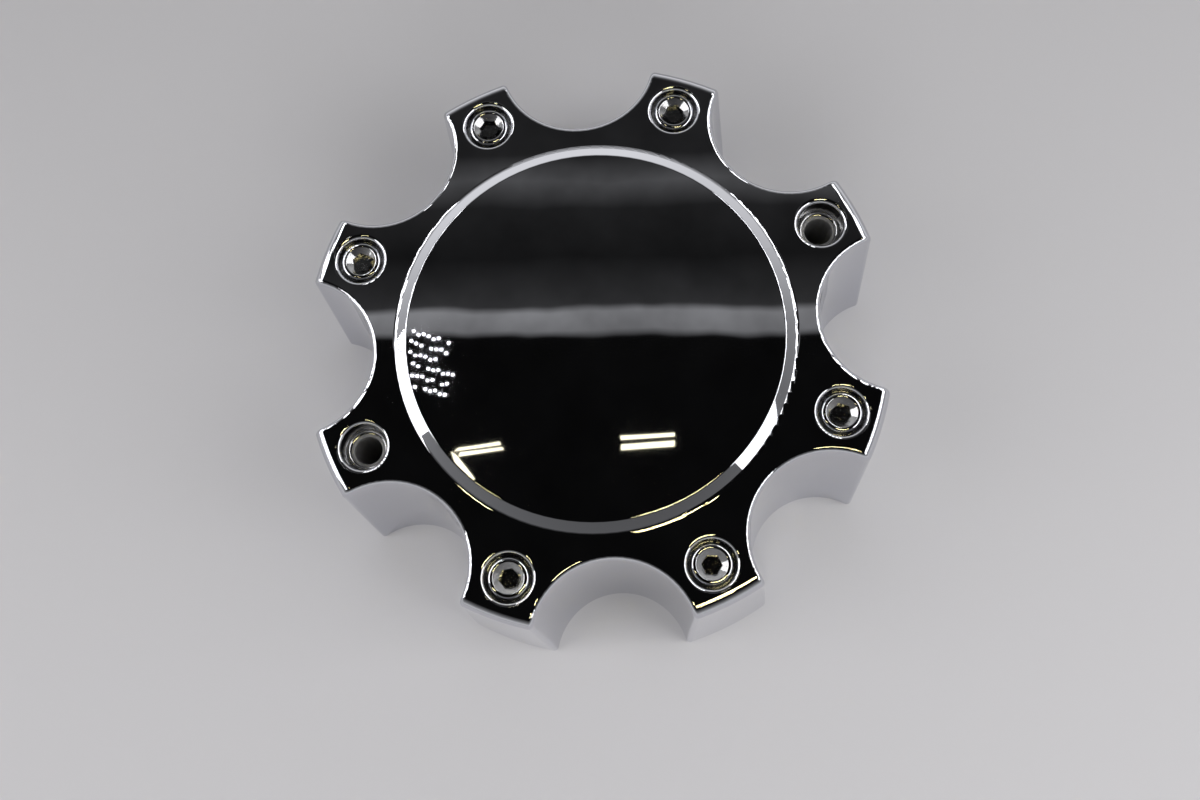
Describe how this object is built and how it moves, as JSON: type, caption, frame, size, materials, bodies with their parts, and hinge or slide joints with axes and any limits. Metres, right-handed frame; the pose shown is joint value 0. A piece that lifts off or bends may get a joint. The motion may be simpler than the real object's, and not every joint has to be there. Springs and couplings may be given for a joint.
{
  "type": "wheel center cap",
  "caption": "Bolt-on wheel center cap: round chrome-plated moulded shell with lug scallops between short arms, a raised centre disc, imitation screw heads and a hollow back.",
  "frame": {"origin": "centre of the open back rim, which the cap lies on", "axes": "+Z out of the face along the cap's axis, X through the two screw holes"},
  "size_m": [0.1684, 0.1684, 0.0576],
  "materials": {
    "chrome_plate": "mirror-bright decorative chrome plating on moulded ABS"
  },
  "bodies": {
    "root": {"center_cap": "chrome_plate"}
  },
  "joints": []
}
